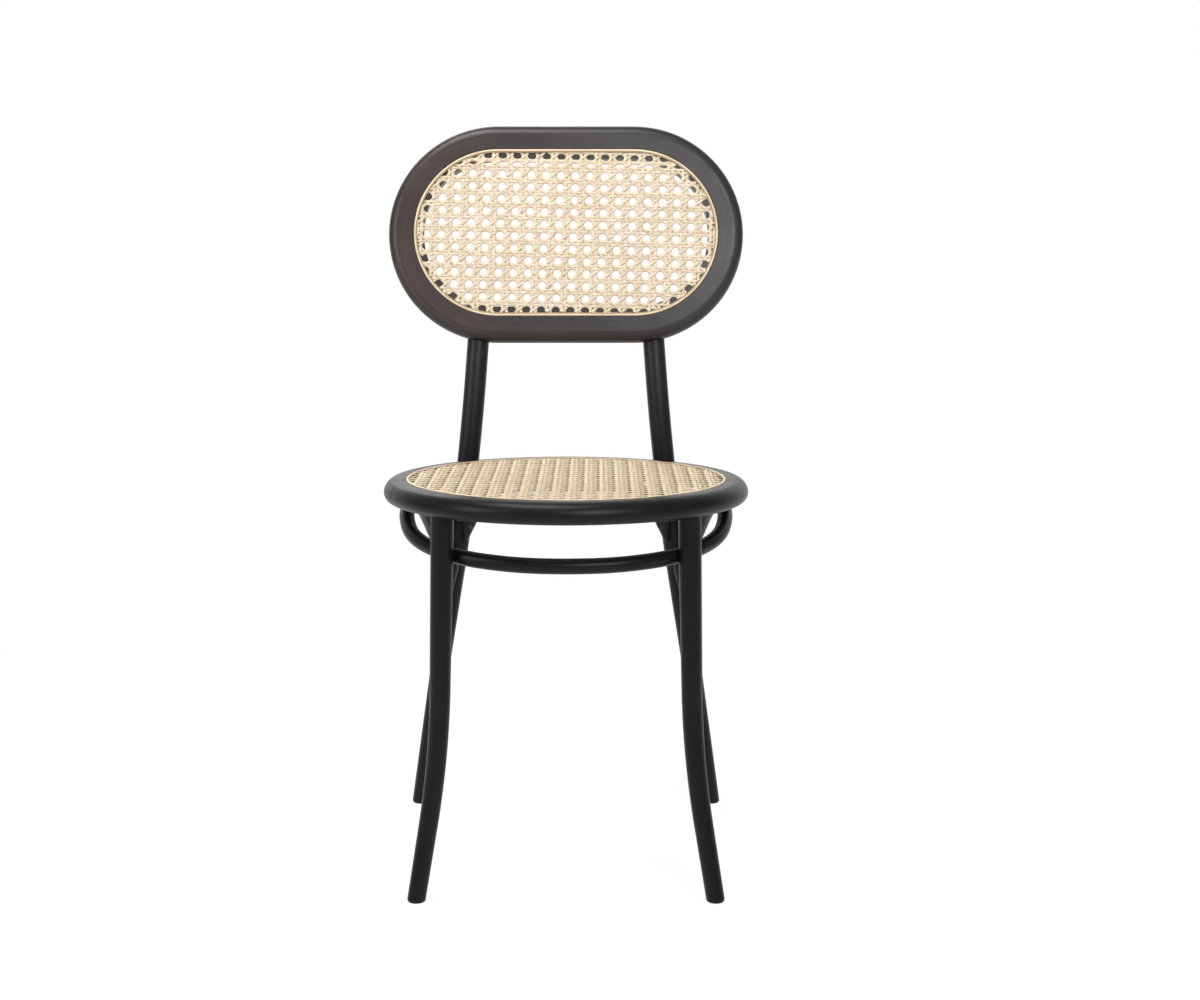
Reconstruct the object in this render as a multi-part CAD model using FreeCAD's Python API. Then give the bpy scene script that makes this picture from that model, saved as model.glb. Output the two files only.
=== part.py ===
import FreeCAD, Part

import math
import os

from FreeCAD import Placement, Rotation, Vector

# Lengths are in millimetres and angles in degrees.
# The chair is drawn about the seat's centre: X to the viewer's right, Y to the back, Z up from the floor.

# Seat ring
seat_diameter = 432.0
seat_height = 467.0
ring_thickness = 25.6
ring_face = 26.2

# Backrest frame, a stadium leaning back
back_width = 452.5
back_height = 279.5
back_thickness = 24.0
back_face = 32.5
back_rake = 12.0
back_gap = 146.0

# Groove, lip and cane, alike on the seat and the backrest
groove_width = 4.5
groove_depth = 6.0
lip_width = 7.8
lip_recess = 2.0
outer_round_share = 0.59
inner_round = 4.0
edge_ease = 0.8
cane_thickness = 1.5
spline_crown = 0.8
cane_hole_diameter = 9.0
cane_hole_margin = 1.6
seat_pitch_across = 18.1
seat_pitch_deep = 17.0
back_pitch_across = 18.4
back_pitch_up = 15.9

# Front legs
front_leg_angle = 44.0
front_leg_inset = 22.1
front_leg_top_diameter = 26.4
front_leg_foot_diameter = 21.0
front_leg_lean = 1.55
front_leg_splay = 12.55
front_bend_radius = 815.0
front_bend_height = 243.0
front_tenon_diameter = 15.0
front_tenon_length = 15.0

# Rear legs, each one rod from the floor to the backrest
rear_leg_angle = 33.7
rear_leg_diameter = 27.5
rear_foot_diameter = 21.0
rear_leg_housing = 2.5
rear_splay_out = 8.8
rear_splay_back = 6.8
rear_lean_in = 4.0
rear_bend_radius = 755.0
lap_height = 38.0
lap_end_round = 3.0
foot_round = 3.5

# Stretcher hoop: a front arc inside the front legs, sides that rise to the ring, and ends on the rear legs
hoop_diameter = 18.0
hoop_leg_housing = 2.0
hoop_side_inset = 7.2
hoop_front_drop = 53.0
hoop_side_drop = 20.0
hoop_rise_power = 2.4
hoop_crest_back = 60.0
hoop_crest_inset = 4.5
hoop_shoulder_in = 10.0
hoop_shoulder_back = 80.0
hoop_shoulder_drop = 31.9
hoop_knee_in = 19.0
hoop_knee_back = 110.0
hoop_knee_drop = 62.0
hoop_end_drop = 116.0
hoop_end_length = 38.0
hoop_end_turn = 46.0
hoop_tip_diameter = 8.0

# Arch brace between the rear legs, with its crest under the ring
brace_diameter = 18.0
brace_tip_diameter = 7.6
brace_tip_drop = 76.0
brace_end_length = 24.0
brace_end_turn = 2.0
brace_crest_angle = 22.0

# Fasteners
screw_diameter = 4.0
screw_head_diameter = 8.0
screw_head_height = 2.6
screw_slot_width = 1.0
screw_slot_depth = 1.1
screw_point_length = 4.0
screw_sink = 0.8
screw_bite = 14.0
bolt_diameter = 6.0
bolt_head_diameter = 15.0
bolt_head_height = 3.6
bolt_head_edge = 1.2
bolt_sink = 0.8
bolt_tail = 9.0
nut_across_flats = 10.0
nut_height = 5.0
washer_diameter = 14.0
washer_thickness = 1.4
brace_screw_spread = 8.0
lap_screw_low = 15.0
lap_screw_high = 29.0

# How far a rod's tapered end and its tip sink into the leg beside them
end_nest = 2.0
tip_nest = 1.3

# Clearances
joint_gap = 0.1
bore_spare = 1.0

# Side of the blocks that trim a leg flat at the floor and at its top
trim_block = 100.0

# Levels and radii that follow from the sizes above
UP = Vector(0, 0, 1)
round_bow = 1 - math.sqrt(0.5)
ring_radius = seat_diameter / 2
ring_width = ring_face + groove_width + lip_width
ring_underside = seat_height - ring_thickness
ring_middle = seat_height - ring_thickness / 2
hoop_radius = hoop_diameter / 2
brace_radius = brace_diameter / 2
rear_leg_radius = rear_leg_diameter / 2
back_half = back_thickness / 2
back_straight = back_width - back_height


def unit(vector):
    return vector * (1 / vector.Length)


def tan(angle):
    return math.tan(math.radians(angle))


def mirrored(shape):
    return shape.mirror(Vector(0, 0, 0), Vector(1, 0, 0))


def both(shape):
    """A piece and its twin on the other side of the chair."""
    return Part.makeCompound([shape, mirrored(shape)])


def polar(radius, angle_from_x, height):
    turn = math.radians(angle_from_x)
    return Vector(radius * math.cos(turn), radius * math.sin(turn), height)


def line(start, end):
    return Part.LineSegment(start, end).toShape()


def arc_between(start, corner, end):
    """The arc that leaves start towards corner and reaches end coming from corner."""
    middle = (start + end) * 0.5
    half_chord = (end - start).Length / 2
    towards = corner - middle
    if towards.Length < 0.001 * half_chord:
        return line(start, end)
    quarter_turn = math.atan2(towards.Length, half_chord) / 2
    top = middle + unit(towards) * (half_chord * math.tan(quarter_turn))
    return Part.Arc(start, top, end).toShape()


def biarc(start, start_way, end, end_way):
    """Two arcs that join two points along given directions."""
    reach = end - start
    ways = start_way + end_way
    bend = 2 * (1 - start_way.dot(end_way))
    along = reach.dot(ways)
    if bend < 1e-9:
        arm = reach.dot(reach) / (2 * along)
    else:
        arm = (math.sqrt(along * along + bend * reach.dot(reach)) - along) / bend
    first_corner = start + start_way * arm
    last_corner = end - end_way * arm
    joint = (first_corner + last_corner) * 0.5
    return [arc_between(start, first_corner, joint), arc_between(joint, last_corner, end)]


def smooth_route(points, first_way, last_way):
    """Arcs through the points. An inner point's way is that of the circle through it and its neighbours."""
    ways = [first_way]
    for before, here, after in zip(points, points[1:], points[2:]):
        a = here - before
        b = after - here
        ways.append(unit(a * (b.Length / a.Length) + b * (a.Length / b.Length)))
    ways.append(last_way)
    edges = []
    for i in range(len(points) - 1):
        edges += biarc(points[i], ways[i], points[i + 1], ways[i + 1])
    return edges


def circle(centre, way, radius):
    return Part.Wire([Part.Circle(centre, way, radius).toShape()])


def straight_rod(start, end, start_radius, end_radius):
    way = end - start
    if abs(start_radius - end_radius) < 1e-6:
        return Part.makeCylinder(start_radius, way.Length, start, way)
    return Part.makeCone(start_radius, end_radius, way.Length, start, way)


def bent_rod(edges, start_way, end_way, start_radius, end_radius):
    """A round rod along joined arcs, from one radius to another."""
    wire = Part.Wire(edges)
    start = edges[0].valueAt(edges[0].FirstParameter)
    profiles = [circle(start, start_way, start_radius)]
    if abs(start_radius - end_radius) > 1e-6:
        end = edges[-1].valueAt(edges[-1].LastParameter)
        profiles.append(circle(end, end_way, end_radius))
    return wire.makePipeShell(profiles, True, False)


class BentLeg:
    """A rod with one bend between two straight stretches, whose lines would meet at corner.
    radii are those at the foot, at the bend's two ends and at the top."""

    def __init__(self, corner, lower_way, upper_way, bend_radius, top, radii):
        half_turn = lower_way.getAngle(upper_way) / 2
        arm = bend_radius * math.tan(half_turn)
        self.lower_way = lower_way
        self.upper_way = upper_way
        self.corner = corner
        self.low = corner - lower_way * arm
        self.high = corner + upper_way * arm
        self.foot = corner - lower_way * (corner.z / lower_way.z)
        self.top = top
        self.radii = radii

    def solid(self, grow=0.0):
        foot, low, high, top = [radius + grow for radius in self.radii]
        below = self.foot - self.lower_way * foot
        lower = straight_rod(below, self.low, foot, low)
        arc = arc_between(self.low, self.corner, self.high)
        bend = bent_rod([arc], self.lower_way, self.upper_way, low, high)
        upper = straight_rod(self.high, self.top, high, top)
        floor_corner = self.foot - Vector(trim_block / 2, trim_block / 2, trim_block)
        floor = Part.makeBox(trim_block, trim_block, trim_block, floor_corner)
        return lower.fuse([bend, upper]).cut(floor).removeSplitter()

    def low_axis(self, height):
        """The point of the lower stretch's axis at a height, and the leg's radius there."""
        point = self.foot + self.lower_way * (height / self.lower_way.z)
        share = (point - self.foot).Length / (self.low - self.foot).Length
        radius = self.radii[0] + (self.radii[1] - self.radii[0]) * min(share, 1)
        return point, radius


def rounded_foot(shape):
    """The leg with its edge on the floor rounded."""
    boxes = [(edge, edge.BoundBox) for edge in shape.Edges]
    edges = [edge for edge, box in boxes if max(abs(box.ZMin), abs(box.ZMax)) < joint_gap]
    return shape.makeFillet(foot_round, edges)


def rounded_side(thickness, at, grow=0.0):
    """A rail's outer side from back to front: a small round at the back that runs into a larger one."""
    front_round = thickness * outer_round_share
    back_round = thickness - front_round
    back_bow = round_bow * (back_round + grow)
    front_bow = round_bow * (front_round + grow)
    widest = at(-grow, -front_round)
    return [
        Part.Arc(
            at(back_round, -thickness - grow), at(back_bow - grow, back_bow - thickness - grow), widest
        ).toShape(),
        Part.Arc(widest, at(front_bow - grow, grow - front_bow), at(front_round, grow)).toShape(),
    ]


def rail_face(thickness, face_width, at):
    """Section of a rail. at(inwards, up) places a point measured from the outer edge of the show face."""
    front_round = thickness * outer_round_share
    back_round = thickness - front_round
    groove_far = face_width + groove_width
    inner = groove_far + lip_width
    outline = rounded_side(thickness, at) + [
        line(at(front_round, 0), at(face_width - edge_ease, 0)),
        Part.Arc(
            at(face_width - edge_ease, 0),
            at(face_width - round_bow * edge_ease, -round_bow * edge_ease),
            at(face_width, -edge_ease),
        ).toShape(),
        line(at(face_width, -edge_ease), at(face_width, -groove_depth)),
        line(at(face_width, -groove_depth), at(groove_far, -groove_depth)),
        line(at(groove_far, -groove_depth), at(groove_far, -lip_recess)),
        line(at(groove_far, -lip_recess), at(inner, -lip_recess)),
        line(at(inner, -lip_recess), at(inner, inner_round - thickness)),
        Part.Arc(
            at(inner, inner_round - thickness),
            at(inner - round_bow * inner_round, round_bow * inner_round - thickness),
            at(inner - inner_round, -thickness),
        ).toShape(),
        line(at(inner - inner_round, -thickness), at(back_round, -thickness)),
    ]
    return Part.Face(Part.Wire(outline))


def blank_face(thickness, face_width, at, grow):
    """The rail's section with no groove, grown all round, for cutting what seats against the rail."""
    front_round = thickness * outer_round_share
    back_round = thickness - front_round
    inner = face_width + groove_width + lip_width
    outline = rounded_side(thickness, at, grow) + [
        line(at(front_round, grow), at(inner, grow)),
        line(at(inner, grow), at(inner, -thickness - grow)),
        line(at(inner, -thickness - grow), at(back_round, -thickness - grow)),
    ]
    return Part.Face(Part.Wire(outline))


def spline_face(face_width, at):
    """Section of the reed in the groove, with a crowned top just above the show face."""
    near = face_width + joint_gap
    far = face_width + groove_width - joint_gap
    bottom = joint_gap - groove_depth
    outline = [
        line(at(near, 0), at(near, bottom)),
        line(at(near, bottom), at(far, bottom)),
        line(at(far, bottom), at(far, 0)),
        Part.Arc(at(far, 0), at((near + far) / 2, spline_crown), at(near, 0)).toShape(),
    ]
    return Part.Face(Part.Wire(outline))


def seat_section(inwards, up):
    return Vector(ring_radius - inwards, 0, seat_height + up)


def turned(face):
    return face.revolve(Vector(0, 0, 0), UP, 360)


def panel_section(inwards, up):
    """A point of the backrest rail's section. In the panel's own axes Y is up the panel, Z out of its face."""
    return Vector(back_straight / 2, inwards - back_height / 2, up)


def stadium(face):
    """The section carried round the stadium, in the panel's own axes."""
    end = face.revolve(Vector(back_straight / 2, 0, 0), UP, 180)
    side = face.extrude(Vector(-back_straight, 0, 0))
    half = end.fuse(side)
    other_half = half.copy()
    other_half.rotate(Vector(0, 0, 0), UP, 180)
    return half.fuse(other_half).removeSplitter()


def stadium_outline(inset):
    """A stadium line inset from the backrest's outer edge."""
    reach = back_height / 2 - inset
    side = back_straight / 2
    outline = [
        line(Vector(-side, -reach, 0), Vector(side, -reach, 0)),
        Part.Arc(Vector(side, -reach, 0), Vector(side + reach, 0, 0), Vector(side, reach, 0)).toShape(),
        line(Vector(side, reach, 0), Vector(-side, reach, 0)),
        Part.Arc(Vector(-side, reach, 0), Vector(-side - reach, 0, 0), Vector(-side, -reach, 0)).toShape(),
    ]
    return Part.Wire(outline)


def steps_within(reach, pitch, share):
    """Places a pitch apart inside a reach. share is how far off the middle they start, in pitches."""
    count = int(reach / pitch) + 1
    places = [(i + share) * pitch for i in range(-count, count + 1)]
    return [place for place in places if abs(place) <= reach]


def net(outline, holes, bottom):
    """A flat net: one face with round holes, given the cane's thickness."""
    radius = cane_hole_diameter / 2
    rings = [circle(Vector(x, y, 0), UP, radius) for x, y in holes]
    net_face = Part.makeFace([outline] + rings, "Part::FaceMakerBullseye")
    plate = net_face.extrude(Vector(0, 0, cane_thickness))
    plate.translate(Vector(0, 0, bottom))
    return plate


def seat_holes():
    reach = ring_radius - ring_width - cane_hole_diameter / 2 - cane_hole_margin
    places = []
    for x in steps_within(reach, seat_pitch_across, 0.5):
        for y in steps_within(reach, seat_pitch_deep, 0.5):
            if math.hypot(x, y) <= reach:
                places.append((x, y))
    return places


def back_holes():
    opening = back_height / 2 - back_face - groove_width - lip_width
    reach = opening - cane_hole_diameter / 2 - cane_hole_margin
    side = back_straight / 2
    places = []
    for x in steps_within(side + reach, back_pitch_across, 0.5):
        for y in steps_within(reach, back_pitch_up, 0):
            if math.hypot(max(abs(x) - side, 0), y) <= reach:
                places.append((x, y))
    return places


def screw(head, way, length, grow=0.0):
    """A countersunk wood screw. head is the middle of its flat top and way is where it points.
    With grow it is the screw's hole, open outwards past the head."""
    head_radius = screw_head_diameter / 2 + grow
    core = screw_diameter / 2 + grow
    way = unit(way)
    neck = head + way * screw_head_height
    point = head + way * (length - screw_point_length)
    end = head + way * (length + grow)
    solids = [
        Part.makeCone(head_radius, core, screw_head_height, head, way),
        straight_rod(neck, point, core, core),
        straight_rod(point, end, core, core / 4),
    ]
    if grow:
        mouth = head - way * hoop_diameter
        return Part.makeCylinder(head_radius, hoop_diameter, mouth, way).fuse(solids)
    body = solids[0].fuse(solids[1:])
    slot = Part.makeBox(2 * screw_head_diameter, screw_slot_width, 2 * screw_slot_depth)
    slot.translate(Vector(-screw_head_diameter, -screw_slot_width / 2, -screw_slot_depth))
    slot.Placement = Placement(head, Rotation(UP, way)).multiply(slot.Placement)
    return body.cut(slot)


def bolt_set(outer, inner, way):
    """Domed bolt, washer and nut that clamp from outer to inner, and the bolt's hole."""
    head_radius = bolt_head_diameter / 2
    shank_radius = bolt_diameter / 2
    shank_length = (inner - outer).Length + bolt_tail
    crown = bolt_head_height - bolt_head_edge
    dome_radius = (head_radius**2 + crown**2) / (2 * crown)
    half_turn = math.asin(head_radius / dome_radius) / 2
    fall = dome_radius * (1 - math.cos(half_turn))
    top = Vector(0, 0, -bolt_head_height)
    shoulder = top + Vector(dome_radius * math.sin(half_turn), 0, fall)
    corners = [
        Vector(head_radius, 0, -bolt_head_edge),
        Vector(head_radius, 0, 0),
        Vector(shank_radius, 0, 0),
        Vector(shank_radius, 0, shank_length),
        Vector(0, 0, shank_length),
        top,
    ]
    outline = [Part.Arc(top, shoulder, corners[0]).toShape()]
    outline += [line(start, end) for start, end in zip(corners, corners[1:])]
    bolt = turned(Part.Face(Part.Wire(outline)))
    bolt.Placement = Placement(outer, Rotation(UP, way))
    washer_start = inner + way * joint_gap
    washer = Part.makeCylinder(washer_diameter / 2, washer_thickness, washer_start, way)
    nut_start = washer_start + way * washer_thickness
    corner = nut_across_flats / math.sqrt(3)
    turn = Rotation(UP, way)
    hexagon = Part.makePolygon(
        [nut_start + turn.multVec(polar(corner, 30 + 60 * i, 0)) for i in range(6)]
        + [nut_start + turn.multVec(polar(corner, 30, 0))]
    )
    nut = Part.Face(hexagon).extrude(way * nut_height)
    bore_length = (inner - outer).Length + bolt_tail + 2 * bore_spare
    bore = Part.makeCylinder(bolt_diameter / 2 + joint_gap, bore_length, outer - way * bore_spare, way)
    return bolt, washer.cut(bore), nut.cut(bore), bore


def front_leg():
    """The right front leg's line: nearly upright, then splayed out along its own radius."""
    around = -front_leg_angle
    top_radius = ring_radius - front_leg_inset
    outwards = polar(1, around, 0)
    upper_way = unit(UP - outwards * tan(front_leg_lean))
    lower_way = unit(UP - outwards * tan(front_leg_splay))
    top = outwards * top_radius + UP * ring_underside
    bend_top = top - upper_way * ((ring_underside - front_bend_height) / upper_way.z)
    arm = front_bend_radius * math.tan(lower_way.getAngle(upper_way) / 2)
    corner = bend_top - upper_way * arm
    foot = corner - lower_way * (corner.z / lower_way.z)
    length = (top - corner).Length + (corner - foot).Length
    foot_radius = front_leg_foot_diameter / 2
    growth = (front_leg_top_diameter / 2 - foot_radius) / length
    low_radius = foot_radius + growth * ((corner - foot).Length - arm)
    high_radius = foot_radius + growth * ((corner - foot).Length + arm)
    radii = (foot_radius, low_radius, high_radius, front_leg_top_diameter / 2)
    return BentLeg(corner, lower_way, upper_way, front_bend_radius, top, radii)


# The right rear leg's line. Its bend is deepest where it seats on the ring.
rear_lower_way = unit(Vector(-tan(rear_splay_out), -tan(rear_splay_back), 1))
rear_upper_way = unit(Vector(-tan(rear_lean_in), tan(back_rake), 1))
rear_contact = polar(ring_radius + rear_leg_radius - rear_leg_housing, 90 - rear_leg_angle, ring_middle)
rear_half_turn = rear_lower_way.getAngle(rear_upper_way) / 2
rear_corner = rear_contact - unit(rear_upper_way - rear_lower_way) * (
    rear_bend_radius * (1 / math.cos(rear_half_turn) - 1)
)

# The backrest's plane: the rear legs' upper stretches lie in the frame's rear face.
panel_up = Vector(0, math.sin(math.radians(back_rake)), math.cos(math.radians(back_rake)))
panel_front = Vector(0, -panel_up.z, panel_up.y)
low_rail_level = seat_height + back_gap + back_half
low_rail_rear = Vector(0, rear_corner.y, rear_corner.z) + panel_up * (
    (low_rail_level - panel_front.z * back_half - rear_corner.z) / panel_up.z
)
low_rail_axis = low_rail_rear + panel_front * back_half
panel_bottom = low_rail_axis - panel_up * back_half
panel_centre = panel_bottom + panel_up * (back_height / 2) + panel_front * back_half
panel_place = Placement(panel_centre, Rotation(Vector(1, 0, 0), 90 - back_rake))


def on_panel(shape):
    placed = shape.copy()
    placed.Placement = panel_place.multiply(placed.Placement)
    return placed


def rear_face_point(height):
    """Where the right rear leg's axis is, a height up the panel's rear face from the frame's lowest line."""
    level = low_rail_rear.z + (height - back_half) * panel_up.z
    return rear_corner + rear_upper_way * ((level - rear_corner.z) / rear_upper_way.z)


def rear_leg():
    top = rear_face_point(lap_height)
    radii = (rear_foot_diameter / 2, rear_leg_radius, rear_leg_radius, rear_leg_radius)
    return BentLeg(rear_corner, rear_lower_way, rear_upper_way, rear_bend_radius, top, radii)


front_leg_line = front_leg()
rear_leg_line = rear_leg()

# The hoop's front arc is half an ellipse. It passes inside the front legs, and is widest under the ring.
hoop_half_width = ring_radius - ring_width / 2 - hoop_side_inset
hoop_leg_axis = front_leg_line.top - front_leg_line.upper_way * hoop_front_drop
hoop_leg_reach = math.hypot(hoop_leg_axis.x, hoop_leg_axis.y)
hoop_at_leg = hoop_leg_reach - front_leg_top_diameter / 2 - hoop_radius + hoop_leg_housing
hoop_half_depth = math.sin(math.radians(front_leg_angle)) / math.sqrt(
    hoop_at_leg**-2 - (math.cos(math.radians(front_leg_angle)) / hoop_half_width) ** 2
)
hoop_leg_turn = math.degrees(math.atan2(hoop_half_depth, hoop_half_width * tan(front_leg_angle)))


def hoop_front_point(turn):
    """A point of the front arc. turn runs from 0 at the front's middle to 90 at the side."""
    rise = (hoop_front_drop - hoop_side_drop) * (abs(turn) / 90) ** hoop_rise_power
    return Vector(
        hoop_half_width * math.sin(math.radians(turn)),
        -hoop_half_depth * math.cos(math.radians(turn)),
        ring_underside - hoop_front_drop + rise,
    )


def end_beside_leg(drop, turn, end_radius, nest):
    """A rod's centre beside the right rear leg, at a drop below the ring. turn swings it outwards from
    the way to the seat's centre, and nest is how far the rod sinks into the leg's round."""
    axis, leg_radius = rear_leg_line.low_axis(ring_underside - drop)
    inwards = unit(Vector(-axis.x, -axis.y, 0))
    way = Rotation(UP, turn).multVec(inwards)
    return axis + way * (leg_radius + end_radius - nest), way


hoop_end, hoop_end_side = end_beside_leg(hoop_end_drop, hoop_end_turn, hoop_radius, end_nest)
hoop_tip_drop = hoop_end_drop + hoop_end_length
hoop_tip = end_beside_leg(hoop_tip_drop, hoop_end_turn, hoop_tip_diameter / 2, tip_nest)[0]
hoop_tip_way = unit(hoop_tip - hoop_end)
hoop_crest_level = ring_underside - hoop_radius - joint_gap
hoop_crest = Vector(hoop_half_width - hoop_crest_inset, hoop_crest_back, hoop_crest_level)
hoop_shoulder = hoop_crest + Vector(-hoop_shoulder_in, hoop_shoulder_back, -hoop_shoulder_drop)
hoop_knee = hoop_crest + Vector(-hoop_knee_in, hoop_knee_back, -hoop_knee_drop)


def hoop_half():
    """The hoop's right half, from the front's middle to the start of its tapered end."""
    turns = [0, hoop_leg_turn / 2, hoop_leg_turn, (hoop_leg_turn + 90) / 2, 90]
    points = [hoop_front_point(turn) for turn in turns]
    points += [hoop_crest, hoop_shoulder, hoop_knee, hoop_end]
    return smooth_route(points, Vector(1, 0, 0), hoop_tip_way)


def hoop_half_rod(grow=0.0):
    radius = hoop_radius + grow
    return bent_rod(hoop_half(), Vector(1, 0, 0), hoop_tip_way, radius, radius)


def stretcher_hoop():
    half = hoop_half_rod()
    tip_radius = hoop_tip_diameter / 2
    end = straight_rod(hoop_end, hoop_tip, hoop_radius, tip_radius)
    right = half.fuse([end, Part.makeSphere(tip_radius, hoop_tip)])
    return right.fuse(mirrored(right)).removeSplitter()


brace_end_drop = brace_tip_drop - brace_end_length
brace_end, brace_end_side = end_beside_leg(brace_end_drop, brace_end_turn, brace_radius, end_nest)
brace_tip = end_beside_leg(brace_tip_drop, brace_end_turn, brace_tip_diameter / 2, tip_nest)[0]
brace_crest_radius = ring_radius - ring_width / 2
brace_crest_height = ring_underside - brace_radius - joint_gap


def arch_brace():
    shoulder = polar(brace_crest_radius, 90 - brace_crest_angle, brace_crest_height)
    shoulder_way = polar(1, 180 - brace_crest_angle, 0)
    middle = polar(brace_crest_radius, 90, brace_crest_height)
    half_shoulder = polar(brace_crest_radius, 90 - brace_crest_angle / 2, brace_crest_height)
    rise_way = unit(brace_end - brace_tip)
    crest = Part.Arc(shoulder, half_shoulder, middle).toShape()
    route = biarc(brace_end, rise_way, shoulder, shoulder_way) + [crest]
    half = bent_rod(route, rise_way, Vector(-1, 0, 0), brace_radius, brace_radius)
    tip_radius = brace_tip_diameter / 2
    end = straight_rod(brace_end, brace_tip, brace_radius, tip_radius)
    right = half.fuse([end, Part.makeSphere(tip_radius, brace_tip)])
    return right.fuse(mirrored(right)).removeSplitter()


def screw_through_rod(centre, way, radius, length):
    """A screw that enters a rod square to its axis and bites into what lies behind it, and its hole."""
    head = centre - way * (radius - screw_sink)
    solid = screw(head, way, length)
    hole = screw(head, way, length, joint_gap)
    return solid, hole


# Screws: hoop to front legs, hoop to ring, hoop ends to rear legs
outwards_at_leg = polar(1, -front_leg_angle, 0)
hoop_leg_screw, hoop_leg_hole = screw_through_rod(
    hoop_front_point(hoop_leg_turn), outwards_at_leg, hoop_radius, hoop_diameter + screw_bite
)
hoop_ring_screw, hoop_ring_hole = screw_through_rod(hoop_crest, UP, hoop_radius, hoop_diameter + screw_bite)
hoop_end_middle = (hoop_end * 2 + hoop_tip) * (1 / 3)
hoop_end_radius = (hoop_diameter * 2 + hoop_tip_diameter) / 6
hoop_end_screw, hoop_end_hole = screw_through_rod(
    hoop_end_middle, hoop_end_side * -1, hoop_end_radius, hoop_end_radius * 2 + screw_bite
)

# Screws: brace to ring and brace ends to rear legs
brace_ring_point = polar(brace_crest_radius, 90 - brace_screw_spread, brace_crest_height)
brace_ring_screw, brace_ring_hole = screw_through_rod(
    brace_ring_point, UP, brace_radius, brace_diameter + screw_bite
)
brace_end_middle = (brace_end * 2 + brace_tip) * (1 / 3)
brace_end_radius = (brace_diameter * 2 + brace_tip_diameter) / 6
brace_end_screw, brace_end_hole = screw_through_rod(
    brace_end_middle, brace_end_side * -1, brace_end_radius, brace_end_radius * 2 + screw_bite
)

# Screws through the rear legs' laps into the backrest frame
lap_screws = []
lap_holes = []
for lap_screw_height in (lap_screw_low, lap_screw_high):
    lap_screw, lap_hole = screw_through_rod(
        rear_face_point(lap_screw_height), panel_front, rear_leg_radius, rear_leg_radius + screw_bite
    )
    lap_screws += [lap_screw, mirrored(lap_screw)]
    lap_holes += [lap_hole, mirrored(lap_hole)]

# Bolts through the rear legs and the ring
bolt_way = unit(Vector(-rear_contact.x, -rear_contact.y, 0))
bolt_outer = rear_contact - bolt_way * (rear_leg_radius - bolt_sink)
bolt_inner = polar(ring_radius - ring_width, 90 - rear_leg_angle, ring_middle)
rear_bolt, rear_washer, rear_nut, rear_bolt_bore = bolt_set(bolt_outer, bolt_inner, bolt_way)
bolt_seat_radius = bolt_head_diameter / 2 + joint_gap
bolt_head_seat = Part.makeCylinder(bolt_seat_radius, bolt_head_height, bolt_outer, bolt_way * -1)


def front_leg_solid():
    top = front_leg_line.top
    tenon = Part.makeCylinder(front_tenon_diameter / 2, front_tenon_length, top, UP)
    body = rounded_foot(front_leg_line.solid())
    above_corner = top - Vector(trim_block / 2, trim_block / 2, 0)
    above = Part.makeBox(trim_block, trim_block, trim_block, above_corner)
    return body.cut(above).fuse(tenon).cut([hoop_half_rod(joint_gap), hoop_leg_hole])


def front_tenon_bore():
    start = front_leg_line.top - UP * bore_spare
    return Part.makeCylinder(
        front_tenon_diameter / 2 + joint_gap, front_tenon_length + 2 * bore_spare, start, UP
    )


def rear_leg_solid():
    body = rear_leg_line.solid()
    top = rear_leg_line.top
    end_edges = [
        edge
        for edge in body.Edges
        if edge.Curve.TypeId == "Part::GeomCircle" and (edge.CenterOfMass - top).Length < 0.1
    ]
    body = rounded_foot(body.makeFillet(lap_end_round, end_edges))
    ring_blank = turned(blank_face(ring_thickness, ring_face, seat_section, joint_gap))
    panel_blank = on_panel(stadium(blank_face(back_thickness, back_face, panel_section, joint_gap)))
    cutters = [ring_blank, panel_blank, rear_bolt_bore, bolt_head_seat, hoop_end_hole, brace_end_hole]
    return body.cut(cutters + lap_holes)


def seat_ring():
    bores = [front_tenon_bore(), rear_bolt_bore, hoop_ring_hole, brace_ring_hole]
    bores += [mirrored(bore) for bore in bores]
    washer_seat = Part.makeCylinder(washer_diameter / 2 + joint_gap, ring_width, bolt_inner, bolt_way)
    bores += [washer_seat, mirrored(washer_seat)]
    return turned(rail_face(ring_thickness, ring_face, seat_section)).cut(bores)


def seat_cane():
    outline = circle(Vector(0, 0, 0), UP, ring_radius - ring_face - groove_width)
    return net(outline, seat_holes(), seat_height - lip_recess)


def seat_spline():
    return turned(spline_face(ring_face, seat_section))


def back_frame():
    return on_panel(stadium(rail_face(back_thickness, back_face, panel_section))).cut(lap_holes)


def back_cane():
    return on_panel(net(stadium_outline(back_face + groove_width), back_holes(), -lip_recess))


def back_spline():
    return on_panel(stadium(spline_face(back_face, panel_section)))


def hoop_solid():
    holes = [hoop_leg_hole, hoop_ring_hole, hoop_end_hole, rear_leg_line.solid(joint_gap)]
    holes += [mirrored(hole) for hole in holes]
    return stretcher_hoop().cut(holes)


def brace_solid():
    holes = [brace_ring_hole, brace_end_hole, rear_leg_line.solid(joint_gap)]
    holes += [mirrored(hole) for hole in holes]
    return arch_brace().cut(holes)


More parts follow.
